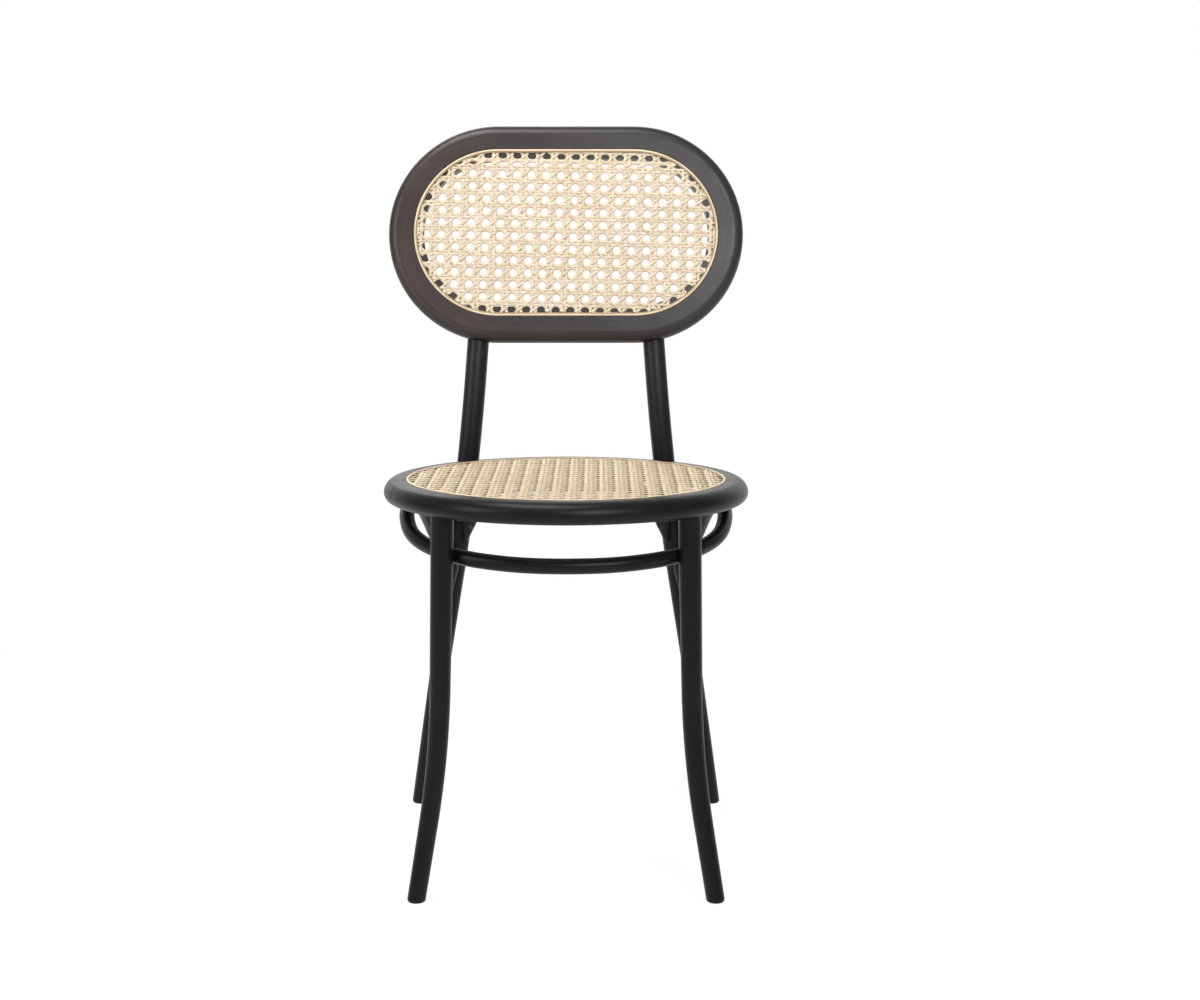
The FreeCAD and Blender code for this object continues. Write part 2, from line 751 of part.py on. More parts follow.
def pieces():
    """Every node's name with its shape, about the seat's centre."""
    right_front = front_leg_solid()
    right_rear = rear_leg_solid()
    return {
        "seat_ring": seat_ring(),
        "seat_cane": seat_cane(),
        "seat_spline": seat_spline(),
        "back_frame": back_frame(),
        "back_cane": back_cane(),
        "back_spline": back_spline(),
        "front_leg_right": right_front,
        "front_leg_left": mirrored(right_front),
        "rear_leg_right": right_rear,
        "rear_leg_left": mirrored(right_rear),
        "stretcher_hoop": hoop_solid(),
        "rear_arch_brace": brace_solid(),
        "rear_leg_bolts": both(rear_bolt),
        "rear_leg_washers": both(rear_washer),
        "rear_leg_nuts": both(rear_nut),
        "hoop_leg_screws": both(hoop_leg_screw),
        "hoop_ring_screws": both(hoop_ring_screw),
        "hoop_end_screws": both(hoop_end_screw),
        "brace_ring_screws": both(brace_ring_screw),
        "brace_end_screws": both(brace_end_screw),
        "back_lap_screws": Part.makeCompound(lap_screws),
    }


# The origin is on the floor under the middle of the chair's overall depth.
back_rearmost = (low_rail_axis + panel_up * (back_height - back_thickness)).y + back_half
depth_middle = (back_rearmost - ring_radius) / 2


def main():
    os.makedirs("parts", exist_ok=True)
    for name, shape in pieces().items():
        placed = shape.copy()
        placed.translate(Vector(0, -depth_middle, 0))
        placed.exportStep("parts/" + name + ".step")
        print(name, len(placed.Solids), placed.isValid(), round(placed.Volume), placed.BoundBox)


main()
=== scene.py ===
import math
import random

import bpy
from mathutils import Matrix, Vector


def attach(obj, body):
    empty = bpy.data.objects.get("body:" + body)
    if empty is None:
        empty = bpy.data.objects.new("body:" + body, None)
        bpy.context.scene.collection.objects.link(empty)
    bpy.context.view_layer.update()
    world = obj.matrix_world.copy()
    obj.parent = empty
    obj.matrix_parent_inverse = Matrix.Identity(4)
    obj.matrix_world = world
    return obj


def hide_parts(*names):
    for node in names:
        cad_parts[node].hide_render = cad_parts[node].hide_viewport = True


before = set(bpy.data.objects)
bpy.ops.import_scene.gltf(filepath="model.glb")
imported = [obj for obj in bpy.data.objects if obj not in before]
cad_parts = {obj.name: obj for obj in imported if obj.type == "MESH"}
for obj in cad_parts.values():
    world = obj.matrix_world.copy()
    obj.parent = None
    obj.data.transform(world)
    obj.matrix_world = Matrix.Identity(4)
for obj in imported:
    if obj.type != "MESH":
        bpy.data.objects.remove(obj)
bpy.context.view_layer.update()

# A bentwood chair with woven cane in its round seat and in its stadium-shaped backrest.
# Lengths are in metres. X is to the viewer's right, Y to the back, Z up from the floor.

# Sizes of the solids that the woven pieces fit into
SEAT_Y = -0.02585
SEAT_TOP = 0.467
RING_RADIUS = 0.216
RING_FACE = 0.0262
BACK_FACE = 0.0325
GROOVE = 0.0045
BACK_WIDTH = 0.4525
BACK_HEIGHT = 0.2795
BACK_SIDE = (BACK_WIDTH - BACK_HEIGHT) / 2
BACK_CENTRE = Vector((0, 0.191551, 0.752453))
BACK_RAKE = math.radians(12)
BACK_UP = Vector((0, math.sin(BACK_RAKE), math.cos(BACK_RAKE)))
BACK_OUT = Vector((0, -math.cos(BACK_RAKE), math.sin(BACK_RAKE)))

# Strands of cane. A section is across and up, as shares of half the width and of the thickness.
STRAND_SECTION = [(-1, -0.5), (-0.82, 0.22), (0, 0.5), (0.82, 0.22), (1, -0.5)]
STRAND_THICKNESS = 0.00065
STRAND_STEP = 0.0019
FEWEST_POINTS = 4
PAIR_LIFT = 0.00036
DIAGONAL_LIFT = 0.00066
CANE_DEPTH = 0.0011
TUCKED_IN = 0.0004
SLACK = 0.00022
SWAY = (0.00004, 0.00016)
SWAY_RATE = 42
WIDTH_RANGE = (0.93, 1.06)
ANY_PHASE = 6.28
NUMBER_STEP = 0.137

# Reeds in the grooves: the section across and up, and the slow waves along the top
REED_HALF = 0.00205
REED_DEEP = -0.0050
REED_SECTION = [
    (-REED_HALF, REED_DEEP), (-REED_HALF, -0.0002), (-0.00185, 0.00028), (-0.0012, 0.00062),
    (-0.0004, 0.00072), (0.0003, 0.00058), (0.0008, 0.00022), (0.0012, 0.00010),
    (0.0016, 0.00020), (0.00195, 0.00000), (REED_HALF, -0.0005), (REED_HALF, REED_DEEP),
]
REED_WAVES = 4
REED_WAVE_RATE = (20, 60)
REED_WAVE_SIZE = (0.00003, 0.00008)

# The photograph's camera, in its own pixels
PHOTO_WIDTH = 1200
FOCAL_PIXELS = 2093
SHIFT_PIXELS = 34
SENSOR_WIDTH = 36.0
CAMERA_BACK = 2.466
CAMERA_HEIGHT = 0.7974
CAMERA_PITCH = 8.25

WHITE = (1, 1, 1, 1)


# ---------------------------------------------------------------- helpers

class Shader:
    """A material's node tree, with short calls for its nodes."""

    def __init__(self, name):
        self.material = bpy.data.materials.new(name)
        self.material.use_nodes = True
        self.tree = self.material.node_tree
        self.surface = self.tree.nodes["Principled BSDF"]

    def add(self, kind, inputs=None, **settings):
        node = self.tree.nodes.new(kind)
        for key, value in settings.items():
            setattr(node, key, value)
        for key, value in (inputs or {}).items():
            self.put(node.inputs[key], value)
        return node

    def put(self, socket, value):
        if isinstance(value, bpy.types.NodeSocket):
            self.tree.links.new(value, socket)
        else:
            socket.default_value = value

    def set(self, **values):
        for key, value in values.items():
            self.put(self.surface.inputs[key.replace("_", " ")], value)

    def math(self, operation, a, b=0.0, c=0.0):
        node = self.add("ShaderNodeMath", operation=operation)
        for socket, value in zip(node.inputs, (a, b, c)):
            self.put(socket, value)
        return node.outputs[0]

    def mix(self, share, a, b):
        return self.add("ShaderNodeMix", {0: share, 6: a, 7: b}, data_type="RGBA").outputs[2]

    def tint(self, base, share, most, colour):
        """base turned towards colour, by share times most."""
        return self.mix(self.math("MULTIPLY", share, most), base, colour)

    def place(self):
        return self.add("ShaderNodeTexCoord").outputs["Object"]

    def strand(self):
        """What the mesh stores for each point: along the strand, across it, and its number."""
        return self.split(self.add("ShaderNodeAttribute", attribute_name="strand").outputs["Vector"])

    def split(self, vector):
        return self.add("ShaderNodeSeparateXYZ", {0: vector}).outputs

    def vector(self, x, y, z):
        return self.add("ShaderNodeCombineXYZ", {0: x, 1: y, 2: z}).outputs[0]

    def stretch(self, vector, along, across):
        scale = (along, across, across)
        return self.add("ShaderNodeVectorMath", {0: vector, 1: scale}, operation="MULTIPLY").outputs[0]

    def noise(self, place, scale, detail=2.0, rough=0.5, distort=0.0):
        inputs = {"Vector": place, "Scale": scale, "Detail": detail, "Roughness": rough, "Distortion": distort}
        return self.add("ShaderNodeTexNoise", inputs).outputs[0]

    def spread(self, value, low, high, to_low=0.0, to_high=1.0):
        inputs = {0: value, 1: low, 2: high, 3: to_low, 4: to_high}
        return self.add("ShaderNodeMapRange", inputs).outputs[0]

    def bump(self, height, distance, strength, under=None):
        node = self.add("ShaderNodeBump", {"Height": height, "Distance": distance, "Strength": strength})
        if under is not None:
            self.put(node.inputs["Normal"], under)
        return node.outputs[0]


def srgb(red, green, blue):
    """A colour given as it shows on screen, 0 to 255, in linear light."""
    def linear(value):
        value = value / 255
        return value / 12.92 if value <= 0.04045 else ((value + 0.055) / 1.055) ** 2.4
    return (linear(red), linear(green), linear(blue), 1)


def link(name, data):
    thing = bpy.data.objects.new(name, data)
    bpy.context.scene.collection.objects.link(thing)
    return thing


def mesh_piece(name, points, faces, material, data=None):
    """A mesh as an object. data holds what Shader.strand reads, for each point."""
    mesh = bpy.data.meshes.new(name)
    mesh.from_pydata(points, [], faces)
    if data:
        attribute = mesh.attributes.new("strand", "FLOAT_VECTOR", "POINT")
        attribute.data.foreach_set("vector", [value for item in data for value in item])
        mesh.polygons.foreach_set("use_smooth", [len(face) == 4 for face in faces])
    mesh.materials.append(material)
    return link(name, mesh)


# ---------------------------------------------------------------- wood and steel

def along_the_grain(sh, way):
    """Coordinates with the grain along x: up the leg, round the ring, or round the backrest's stadium."""
    x, y, z = sh.split(sh.place())
    if way == "upright":
        return sh.vector(z, x, y)
    if way == "ring":
        y = sh.math("SUBTRACT", y, SEAT_Y)
        across = z
        bend = RING_RADIUS
    else:
        up = sh.math("MULTIPLY", sh.math("SUBTRACT", y, BACK_CENTRE.y), BACK_UP.y)
        up = sh.math("MULTIPLY_ADD", sh.math("SUBTRACT", z, BACK_CENTRE.z), BACK_UP.z, up)
        out = sh.math("MULTIPLY", sh.math("SUBTRACT", y, BACK_CENTRE.y), BACK_OUT.y)
        across = sh.math("MULTIPLY_ADD", sh.math("SUBTRACT", z, BACK_CENTRE.z), BACK_OUT.z, out)
        straight = sh.math("MINIMUM", sh.math("MAXIMUM", x, -BACK_SIDE), BACK_SIDE)
        x = sh.math("SUBTRACT", x, straight)
        y = up
        bend = BACK_HEIGHT / 2
    radius = sh.math("SQRT", sh.math("ADD", sh.math("MULTIPLY", x, x), sh.math("MULTIPLY", y, y)))
    length = sh.math("MULTIPLY", sh.math("ARCTAN2", y, x), bend)
    if way == "panel":
        length = sh.math("SUBTRACT", length, straight)
    return sh.vector(length, radius, across)


def stained_wood(name, way, tone, gloss, warm):
    """Near-black stained bentwood under a satin lacquer, with fine grain, brown where the stain is thin, and
    dulled patches where hands have worn it. On the backrest, painted light on its left end and painted shade
    along its outer edge; on the posts, painted light above the seat. tone is how light the stain is on screen, 0
    to 255."""
    sh = Shader(name)

    def stain(red, green, blue):
        return srgb(red * tone, green * tone, blue * tone)

    grain = along_the_grain(sh, way)
    fine = sh.noise(sh.stretch(grain, 7.0, 260.0), 1.0, 4.0, 0.6)
    bands = sh.noise(sh.stretch(grain, 2.5, 42.0), 1.0, 3.0, 0.55, 0.6)
    pore = sh.spread(sh.noise(sh.stretch(grain, 60.0, 1500.0), 1.0, 1.0), 0.62, 0.72)
    place = sh.place()
    cloud = sh.noise(place, 9.0, 3.0, 0.55)
    smudge = sh.noise(place, 30.0, 4.0, 0.6)

    base = sh.mix(sh.spread(fine, 0.35, 0.7), stain(0.75, 0.74, 0.75), stain(1.2, 1.16, 1.17))
    thin_stain = sh.math("MULTIPLY", sh.spread(bands, 0.35, 0.7), sh.spread(cloud, 0.3, 0.6))
    if way == "panel":
        # painted light: the backrest's left end is painted lighter and browner, as the side that the light falls
        # on
        painted_left_light = sh.spread(sh.split(place)[0], 0.12, -0.2, 0.25, 1.0)
        thin_stain = sh.math("MULTIPLY", sh.math("MULTIPLY_ADD", thin_stain, 0.6, 0.4), painted_left_light)
    base = sh.tint(base, thin_stain, warm, stain(2.0, 1.55, 1.4))
    base = sh.tint(base, sh.spread(cloud, 0.35, 0.7), 0.35, stain(1.9, 1.85, 1.85))
    if way == "panel":
        # painted shade: the outer edge is painted darker
        edge = BACK_HEIGHT / 2
        painted_rim_shade = sh.spread(sh.split(grain)[1], edge - 0.0075, edge - 0.001, 0.0, 0.8)
        base = sh.mix(painted_rim_shade, base, stain(0.3, 0.3, 0.3))
    if way == "upright":
        # painted light: the posts above the seat are painted lighter than the legs below it
        painted_light_above = sh.spread(sh.split(place)[2], 0.42, 0.6, 0.0, 0.8)
        base = sh.mix(painted_light_above, base, stain(3.0, 3.0, 3.05))
    base = sh.tint(base, pore, 0.4, stain(0.5, 0.5, 0.5))

    rough = sh.math("MULTIPLY_ADD", fine, 0.5, sh.math("MULTIPLY", smudge, 0.5))
    relief = sh.math("SUBTRACT", sh.math("MULTIPLY_ADD", bands, 0.8, fine), pore)
    ripple = sh.bump(smudge, 0.0002, 0.25, sh.bump(relief, 0.00006, 0.55))
    sh.set(Base_Color=base, Roughness=sh.spread(rough, 0.3, 0.7, 0.28, 0.44), Normal=ripple, IOR=1.5)
    sh.set(Specular_IOR_Level=gloss, Coat_Weight=0.05, Coat_Roughness=0.3)
    return sh.material


def dark_steel():
    sh = Shader("dark_steel")
    place = sh.place()
    fine = sh.noise(place, 900.0, 3.0, 0.6)
    patch = sh.noise(place, 160.0, 3.0, 0.6)
    base = sh.mix(sh.spread(patch, 0.35, 0.7), srgb(92, 90, 88), srgb(62, 60, 59))
    rough = sh.spread(sh.math("MULTIPLY_ADD", fine, 0.4, patch), 0.4, 1.0, 0.3, 0.5)
    sh.set(Base_Color=base, Roughness=rough, Metallic=1.0, Normal=sh.bump(fine, 0.00003, 0.4))
    return sh.material


upright_wood = stained_wood("stained_wood_upright", "upright", tone=15, gloss=0.15, warm=0.4)
ring_wood = stained_wood("stained_wood_ring", "ring", tone=17, gloss=0.17, warm=0.4)
panel_wood = stained_wood("stained_wood_panel", "panel", tone=39, gloss=0.37, warm=1.0)
steel = dark_steel()


# ---------------------------------------------------------------- cane and reed

def cane(name, light, tan, shade, flank_and_shade, flank_shade_share):
    """Split cane: a smooth bark side, fibres along the strand, colour that shifts from strand to strand,
    brown flecks where the leaf nodes were, and cut flanks painted darker, partly their own colour and partly
    painted shade where the holes between strands fall dark."""
    sh = Shader(name)
    along, across, number = sh.strand()
    own_shade = sh.math("FRACT", sh.math("MULTIPLY", number, 7.31))
    shifted = sh.math("MULTIPLY_ADD", number, 3.7, along)
    fibre_place = sh.vector(sh.math("MULTIPLY", shifted, 75.0), sh.math("MULTIPLY", across, 3.2), number)
    fibre = sh.noise(fibre_place, 1.0, 3.0, 0.6)
    cloud = sh.noise(sh.vector(sh.math("MULTIPLY", shifted, 34.0), number, 0.0), 1.0, 3.0, 0.6)
    place = sh.place()
    patch = sh.noise(place, 20.0, 3.0, 0.55)
    mottle = sh.noise(place, 190.0, 3.0, 0.6)
    fleck = sh.spread(sh.noise(place, 330.0, 2.0, 0.5), 0.62, 0.72)

    base = sh.mix(sh.spread(cloud, 0.3, 0.7), light, tan)
    base = sh.tint(base, sh.spread(patch, 0.4, 0.7), 0.5, tan)
    base = sh.tint(base, sh.spread(own_shade, 0.4, 1.0), 0.4, tan)
    base = sh.tint(base, sh.spread(mottle, 0.45, 0.75), 0.55, shade)
    base = sh.tint(base, sh.spread(fibre, 0.5, 0.75), 0.45, shade)
    # partly painted shade: the flanks turn towards a darker colour, partly the cut fibre's own and partly the
    # shade in the holes
    base = sh.mix(sh.spread(sh.math("ABSOLUTE", across), 0.88, 0.97, 0.0, flank_shade_share), base, flank_and_shade)
    base = sh.tint(base, fleck, 0.55, srgb(140, 102, 62))
    rough = sh.spread(fibre, 0.3, 0.7, 0.42, 0.57)
    sh.set(Base_Color=base, Roughness=rough, Normal=sh.bump(fibre, 0.00012, 0.6), IOR=1.5)
    sh.set(Subsurface_Weight=0.04, Subsurface_Scale=0.0006)
    return sh.material


def reed_bark(name, light, tan, painted_crease_shade):
    """The reed's bark: fibres along it, and painted shade: a brown line in the crease on its inner side and
    brown along both edges, where it meets the groove.
    """
    sh = Shader(name)
    along, across, _ = sh.strand()
    fibre_place = sh.vector(sh.math("MULTIPLY", along, 60.0), sh.math("MULTIPLY", across, 4.0), 0.0)
    fibre = sh.noise(fibre_place, 1.0, 4.0, 0.6)
    cloud = sh.noise(sh.vector(sh.math("MULTIPLY", along, 16.0), 0.0, 0.0), 1.0, 3.0, 0.6)
    base = sh.mix(sh.spread(cloud, 0.35, 0.7), light, tan)
    base = sh.tint(base, sh.spread(fibre, 0.45, 0.75), 0.5, tan)
    # painted shade: a brown line along the crease
    off = sh.math("ABSOLUTE", sh.math("SUBTRACT", across, 0.5))
    base = sh.mix(sh.spread(off, 0.34, 0.18, 0.0, 0.85), base, painted_crease_shade)
    # painted shade: brown along both edges, where the reed meets the groove
    base = sh.mix(sh.spread(sh.math("ABSOLUTE", across), 0.9, 1.0, 0.0, 0.85), base, painted_crease_shade)
    sh.set(Base_Color=base, Roughness=sh.spread(fibre, 0.3, 0.7, 0.38, 0.52), IOR=1.5)
    sh.set(Normal=sh.bump(fibre, 0.0001, 0.6))
    return sh.material


back_cane_look = cane(
    "cane_back", srgb(242, 228, 206), srgb(226, 205, 174), srgb(192, 163, 128), srgb(150, 112, 74), 0.6
)
seat_cane_look = cane(
    "cane_seat", srgb(240, 222, 194), srgb(224, 202, 167), srgb(184, 152, 114), srgb(66, 46, 30), 0.8
)
reed_look = reed_bark("reed", srgb(240, 222, 190), srgb(217, 191, 152), srgb(112, 82, 54))

# The nodes that aren't named here are the bolts, washers, nuts and screws.
node_looks = {
    "seat_ring": ring_wood,
    "stretcher_hoop": ring_wood,
    "rear_arch_brace": ring_wood,
    "back_frame": panel_wood,
    "front_leg_right": upright_wood,
    "front_leg_left": upright_wood,
    "rear_leg_right": upright_wood,
    "rear_leg_left": upright_wood,
    "seat_cane": seat_cane_look,
    "back_cane": back_cane_look,
    "seat_spline": reed_look,
    "back_spline": reed_look,
}
for node_name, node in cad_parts.items():
    node.data.materials.clear()
    node.data.materials.append(node_looks.get(node_name, steel))


# ---------------------------------------------------------------- woven panels

class Plane:
    """Axes of a woven panel: across, up and out of its face."""

    def __init__(self, centre, across, up):
        self.centre = centre
        self.across = across
        self.up = up
        self.out = across.cross(up)

    def place(self, x, y, z):
        return self.centre + self.across * x + self.up * y + self.out * z


class Strands:
    """Collects flat strands with a crowned bark side into one mesh."""

    def __init__(self, plane):
        self.plane = plane
        self.points = []
        self.faces = []
        self.data = []

    def add(self, path, width, thickness, number):
        """path holds (x, y, z) along the strand in the panel's own axes."""
        count = len(STRAND_SECTION)
        start = len(self.points)
        length = 0.0
        for i, (x, y, z) in enumerate(path):
            before = path[max(i - 1, 0)]
            after = path[min(i + 1, len(path) - 1)]
            dx, dy = after[0] - before[0], after[1] - before[1]
            run = math.hypot(dx, dy)
            if i:
                length += math.dist(path[i], path[i - 1])
            side = (-dy / run, dx / run)
            for share, rise in STRAND_SECTION:
                off = share * width / 2
                self.points.append(self.plane.place(x + side[0] * off, y + side[1] * off, z + rise * thickness))
                self.data.append((length, share, number))
        for i in range(len(path) - 1):
            row = start + i * count
            for j in range(count):
                k = (j + 1) % count
                self.faces.append((row + j, row + k, row + count + k, row + count + j))
        self.faces.append(tuple(start + j for j in range(count)))
        last = start + (len(path) - 1) * count
        self.faces.append(tuple(last + count - 1 - j for j in range(count)))

    def build(self, name, material):
        return mesh_piece(name, self.points, self.faces, material, self.data)


def weave(plane, inside, reach, across, up, pitch, offset, pair, width, relief, loose, seed, warp=lambda y: y):
    """Six-way cane: pairs of upright and level strands, and two sets of diagonals.

    inside tells whether a point is on the panel, and reach is half the panel's size. across and up are the
    weave's own directions. pitch and offset place the pairs, pair is the gap within one, and width is that of
    an upright, a level and a diagonal strand. relief scales all heights, and loose is how far a level strand
    may lie off its place."""
    rng = random.Random(seed)
    pitch_x, pitch_y = pitch
    offset_x, offset_y = offset
    pair_x, pair_y = pair
    thickness = STRAND_THICKNESS * relief
    lift = PAIR_LIFT * relief
    high = DIAGONAL_LIFT * relief
    strands = Strands(plane)
    number = 0

    def crossing(t, pitch_t, gap, sign):
        """Height of a strand that crosses pairs: over one and under the other, level between pairs."""
        d = (t / pitch_t) % 1.0 * pitch_t - pitch_t / 2
        half = gap / 2
        if abs(d) <= half:
            return -sign * math.sin(d / half * math.pi / 2)
        fall = (pitch_t / 2 - abs(d)) / (pitch_t / 2 - half)
        smooth = fall * fall * (3 - 2 * fall)
        return (sign if d < 0 else -sign) * smooth

    def keep(path, wide):
        if len(path) >= FEWEST_POINTS:
            strands.add(path, wide, thickness, number * NUMBER_STEP)

    def run(point_at, limit, strand_width, sway_share, slack=SLACK):
        """One strand from -limit to limit, cut where it leaves the panel."""
        nonlocal number
        number += 1
        shift = rng.uniform(-slack, slack)
        phase = rng.uniform(0, ANY_PHASE)
        sway = rng.uniform(*SWAY)
        wide = strand_width * rng.uniform(*WIDTH_RANGE)
        path = []
        t = -limit
        while t <= limit:
            along, aside, z = point_at(t, shift + sway * math.sin(t * SWAY_RATE + phase) * sway_share)
            aside = warp(aside)
            x = across[0] * along + up[0] * aside
            y = across[1] * along + up[1] * aside
            if inside(x, y):
                path.append((x, y, z - CANE_DEPTH))
            else:
                keep(path, wide)
                path = []
            t += STRAND_STEP
        keep(path, wide)

    pairs_x = int(reach[0] / pitch_x) + 2
    pairs_y = int(reach[1] / pitch_y) + 2
    for i in range(-pairs_x, pairs_x + 1):
        for side, sign in ((-0.5, 1), (0.5, -1)):
            place = offset_x + (i + 0.5) * pitch_x + side * pair_x

            def upright(t, shift):
                return place + shift, t, lift * crossing(t - offset_y, pitch_y, pair_y, sign)

            run(upright, reach[1] * 1.3, width[0], 1)
    for j in range(-pairs_y, pairs_y + 1):
        for side, sign in ((-0.5, -1), (0.5, 1)):
            place = offset_y + (j + 0.5) * pitch_y + side * pair_y

            def level(t, shift):
                return t, place + shift, lift * crossing(t - offset_x, pitch_x, pair_x, sign)

            run(level, reach[0] * 1.1, width[1], 1, loose)
    for k in range(-pairs_x - pairs_y, pairs_x + pairs_y + 1):
        for slope in (1, -1):

            def diagonal(t, shift):
                y = slope * (k + 0.5 - t / pitch_x) * pitch_y
                over = math.tanh(3.0 * math.cos(math.tau * t / pitch_x))
                return offset_x + t + shift, offset_y + y, slope * high * over

            run(diagonal, reach[0] * 1.1, width[2], 0.6)
    return strands


def gathered(y):
    """The weave is drawn together where it is tucked in along the top of the backrest."""
    stops = [
        (0.0845, 0.0845), (0.0935, 0.0897), (0.0995, 0.0921), (0.1010, 0.0930), (0.1110, 0.1025), (0.1200, 0.1090)
    ]
    if y <= stops[0][0]:
        return y
    for (a, to_a), (b, to_b) in zip(stops, stops[1:]):
        if y <= b:
            return to_a + (to_b - to_a) * (y - a) / (b - a)
    return stops[-1][1] + (y - stops[-1][0]) * 0.7


def on_backrest(x, y):
    radius = BACK_HEIGHT / 2 - (BACK_FACE + GROOVE - TUCKED_IN)
    return math.hypot(max(abs(x) - BACK_SIDE, 0), y) <= radius


def on_seat(x, y):
    return math.hypot(x, y) <= RING_RADIUS - RING_FACE - GROOVE + TUCKED_IN


back_plane = Plane(BACK_CENTRE, Vector((1, 0, 0)), BACK_UP)
seat_plane = Plane(Vector((0, SEAT_Y, SEAT_TOP)), Vector((1, 0, 0)), Vector((0, 1, 0)))

row_tilt = math.radians(1.3)
column_tilt = math.radians(2.1)
back_weave = weave(
    back_plane,
    on_backrest,
    reach=(BACK_WIDTH / 2, BACK_HEIGHT / 2),
    across=(math.cos(row_tilt), -math.sin(row_tilt)),
    up=(math.sin(column_tilt), math.cos(column_tilt)),
    pitch=(0.01865, 0.0158),
    offset=(0.0093, -0.0054),
    pair=(0.0048, 0.0037),
    width=(0.0042, 0.0033, 0.0031),
    relief=1.0,
    loose=SLACK,
    seed=3,
    warp=gathered,
)
back_piece = back_weave.build("back_cane_weave", back_cane_look)
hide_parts("back_cane")
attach(back_piece, "root")

seat_tilt = math.radians(-0.9)
seat_weave = weave(
    seat_plane,
    on_seat,
    reach=(RING_RADIUS, RING_RADIUS),
    across=(math.cos(seat_tilt), math.sin(seat_tilt)),
    up=(-math.sin(seat_tilt), math.cos(seat_tilt)),
    pitch=(0.0181, 0.0170),
    offset=(0.0, 0.0),
    pair=(0.0047, 0.0036),
    width=(0.0041, 0.0032, 0.0029),
    relief=1.0,
    loose=0.0010,
    seed=5,
)
seat_piece = seat_weave.build("seat_cane_weave", seat_cane_look)
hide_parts("seat_cane")
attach(seat_piece, "root")


# ---------------------------------------------------------------- reeds in the grooves

def reed(name, plane, outline, closed_length, number, node):
    """The reed pressed into a groove: a crowned top with a shallow crease, a little uneven along its length."""
    rng = random.Random(number)
    waves = [
        (rng.uniform(*REED_WAVE_RATE), rng.uniform(0, ANY_PHASE), rng.uniform(*REED_WAVE_SIZE))
        for _ in range(REED_WAVES)
    ]
    count = len(REED_SECTION)
    total = len(outline)
    points, faces, data = [], [], []
    for i, (x, y, inwards) in enumerate(outline):
        length = closed_length * i / total
        rise = sum(
            size * math.sin(round(rate * closed_length) * math.tau * i / total + phase)
            for rate, phase, size in waves
        )
        for share, height in REED_SECTION:
            lift = height + (0 if height == REED_DEEP else rise)
            points.append(plane.place(x + inwards[0] * share, y + inwards[1] * share, lift))
            data.append((length, share / REED_HALF, number))
    for i in range(total):
        here, there = i * count, (i + 1) % total * count
        for j in range(count):
            k = (j + 1) % count
            faces.append((here + j, here + k, there + k, there + j))
    piece = mesh_piece(name, points, faces, reed_look, data)
    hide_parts(node)
    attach(piece, "root")


def ring_outline(radius, steps):
    """Points round a circle, each with the way inwards."""
    places = []
    for i in range(steps):
        turn = math.tau * i / steps
        places.append((radius * math.cos(turn), radius * math.sin(turn), (-math.cos(turn), -math.sin(turn))))
    return places


def stadium_outline(radius, side, steps, runs):
    """Points round a stadium, each with the way inwards: steps round each end, runs along each straight."""
    places = []
    for end in (1, -1):
        for i in range(steps):
            turn = math.pi * i / (steps - 1) - end * math.pi / 2
            x, y = math.cos(turn), math.sin(turn)
            places.append((end * side + radius * x, radius * y, (-x, -y)))
        for i in range(1, runs):
            places.append((end * (side - 2 * side * i / runs), end * radius, (0.0, -end)))
    return places


seat_reed_radius = RING_RADIUS - RING_FACE - GROOVE / 2
back_reed_radius = BACK_HEIGHT / 2 - BACK_FACE - GROOVE / 2
reed("seat_reed", seat_plane, ring_outline(seat_reed_radius, 360), math.tau * seat_reed_radius, 11, "seat_spline")
reed(
    "back_reed",
    back_plane,
    stadium_outline(back_reed_radius, BACK_SIDE, 120, 24),
    math.tau * back_reed_radius + 4 * BACK_SIDE,
    12,
    "back_spline",
)


# ---------------------------------------------------------------- floor, light, camera

def pale_floor():
    """A pale floor that reads as white to the camera and keeps the chair's soft shadow."""
    sh = Shader("pale_floor")
    path = sh.add("ShaderNodeLightPath").outputs
    seen = sh.math("MAXIMUM", path["Is Camera Ray"], path["Is Glossy Ray"])
    seen = sh.math("MAXIMUM", seen, path["Is Transmission Ray"])
    place = sh.place()
    tone = sh.mix(sh.noise(place, 3.0, 3.0), (0.80, 0.80, 0.80, 1), (0.83, 0.83, 0.83, 1))
    plain = sh.add("ShaderNodeBsdfDiffuse", {"Color": tone}).outputs[0]
    shaded = sh.add("ShaderNodeBsdfDiffuse", {"Color": (0.20, 0.20, 0.20, 1)}).outputs[0]
    glow = sh.add("ShaderNodeEmission", {"Color": WHITE, "Strength": 0.87}).outputs[0]
    near = sh.add("ShaderNodeAddShader", {0: shaded, 1: glow}).outputs[0]
    white = sh.add("ShaderNodeEmission", {"Color": WHITE, "Strength": 1.0}).outputs[0]
    away = sh.add("ShaderNodeVectorMath", {0: place}, operation="LENGTH").outputs["Value"]
    backdrop = sh.add("ShaderNodeMixShader", {0: sh.spread(away, 0.7, 1.5), 1: near, 2: white}).outputs[0]
    both = sh.add("ShaderNodeMixShader", {0: seen, 1: plain, 2: backdrop}).outputs[0]
    sh.put(sh.tree.nodes["Material Output"].inputs["Surface"], both)
    sh.tree.nodes.remove(sh.surface)
    return sh.material


def floor_piece():
    size, steps = 14.0, 28
    places = [size * (i / steps - 0.5) for i in range(steps + 1)]
    points = [(x, y, 0.0) for x in places for y in places]
    faces = []
    for i in range(steps):
        for j in range(steps):
            a = i * (steps + 1) + j
            faces.append((a, a + steps + 1, a + steps + 2, a + 1))
    mesh_piece("floor", points, faces, pale_floor())


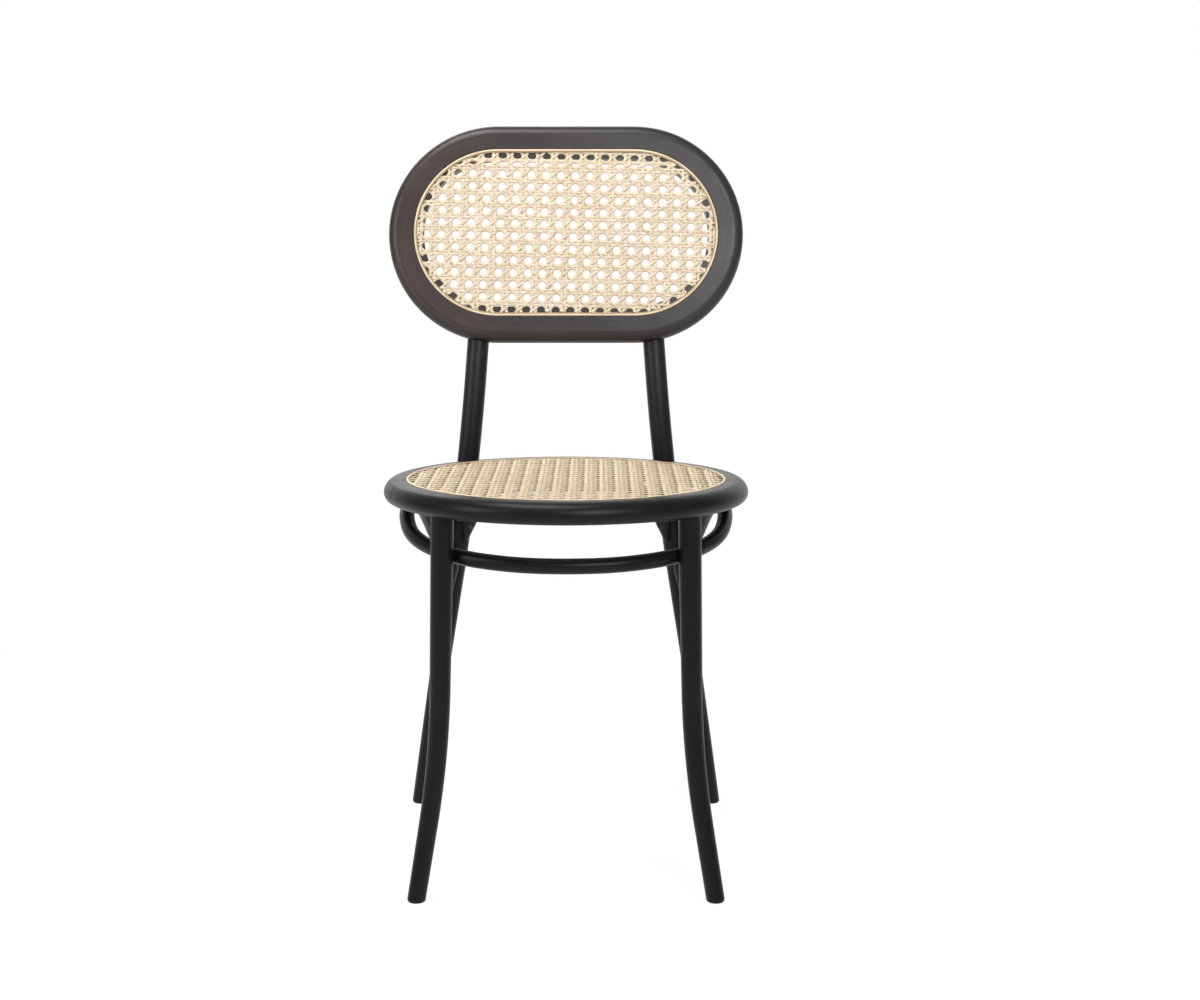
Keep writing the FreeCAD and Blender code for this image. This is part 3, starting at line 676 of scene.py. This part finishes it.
def studio_world():
    """A white backdrop behind the chair, and the dimmer room around it that fills the shadows.
    Mirrored rays see the backdrop only where they leave towards the back."""
    world = bpy.data.worlds.new("studio")
    bpy.context.scene.world = world
    world.use_nodes = True
    tree = world.node_tree

    def add(kind, inputs, **settings):
        node = tree.nodes.new(kind)
        for key, value in settings.items():
            setattr(node, key, value)
        for key, value in inputs.items():
            if isinstance(value, bpy.types.NodeSocket):
                tree.links.new(value, node.inputs[key])
            else:
                node.inputs[key].default_value = value
        return node.outputs

    room = tree.nodes["Background"]
    room.inputs["Color"].default_value = (0.97, 0.985, 1.0, 1)
    room.inputs["Strength"].default_value = 0.3
    backdrop = add("ShaderNodeBackground", {"Color": WHITE, "Strength": 1.0})[0]
    path = add("ShaderNodeLightPath", {})
    way = add("ShaderNodeTexCoord", {})["Generated"]
    backwards = add("ShaderNodeSeparateXYZ", {0: way})[1]
    behind = add("ShaderNodeMapRange", {0: backwards, 1: 0.4, 2: 0.8})[0]
    mirrored = add("ShaderNodeMath", {0: path["Is Glossy Ray"], 1: behind}, operation="MULTIPLY")[0]
    seen = {0: path["Is Camera Ray"], 1: path["Is Transmission Ray"]}
    seen = add("ShaderNodeMath", seen, operation="MAXIMUM")[0]
    either = add("ShaderNodeMath", {0: seen, 1: mirrored}, operation="MAXIMUM")[0]
    mix = add("ShaderNodeMixShader", {0: either, 1: room.outputs[0], 2: backdrop})[0]
    tree.links.new(mix, tree.nodes["World Output"].inputs["Surface"])


def softbox(name, place, target, size, power, colour=(1, 1, 1)):
    light = bpy.data.lights.new(name, "AREA")
    light.shape = "RECTANGLE"
    light.size, light.size_y = size
    light.energy = power
    light.color = colour
    lamp = link(name, light)
    lamp.location = place
    lamp.rotation_euler = (Vector(target) - Vector(place)).to_track_quat("-Z", "Y").to_euler()


floor_piece()
studio_world()
softbox("overhead", (-0.45, -0.4, 2.7), (0, 0, 0.4), (1.5, 1.0), 35)
softbox("front_right", (1.15, -3.1, 2.3), (0, 0, 0.7), (1.5, 1.2), 54, (0.95, 0.975, 1.0))
softbox("side_left", (-2.6, -1.6, 1.7), (0, 0, 0.5), (1.2, 1.6), 27)
softbox("behind", (-0.4, 3.0, 2.3), (0, 0, 0.5), (2.0, 1.2), 17)

camera_data = bpy.data.cameras.new("camera")
camera_data.sensor_width = SENSOR_WIDTH
camera_data.lens = FOCAL_PIXELS / PHOTO_WIDTH * SENSOR_WIDTH
camera_data.shift_x = SHIFT_PIXELS / PHOTO_WIDTH
camera = link("camera", camera_data)
camera.location = (0, SEAT_Y - CAMERA_BACK, CAMERA_HEIGHT)
camera.rotation_euler = (math.radians(90 - CAMERA_PITCH), 0, 0)
bpy.context.scene.camera = camera

bpy.context.scene.view_settings.view_transform = "Standard"
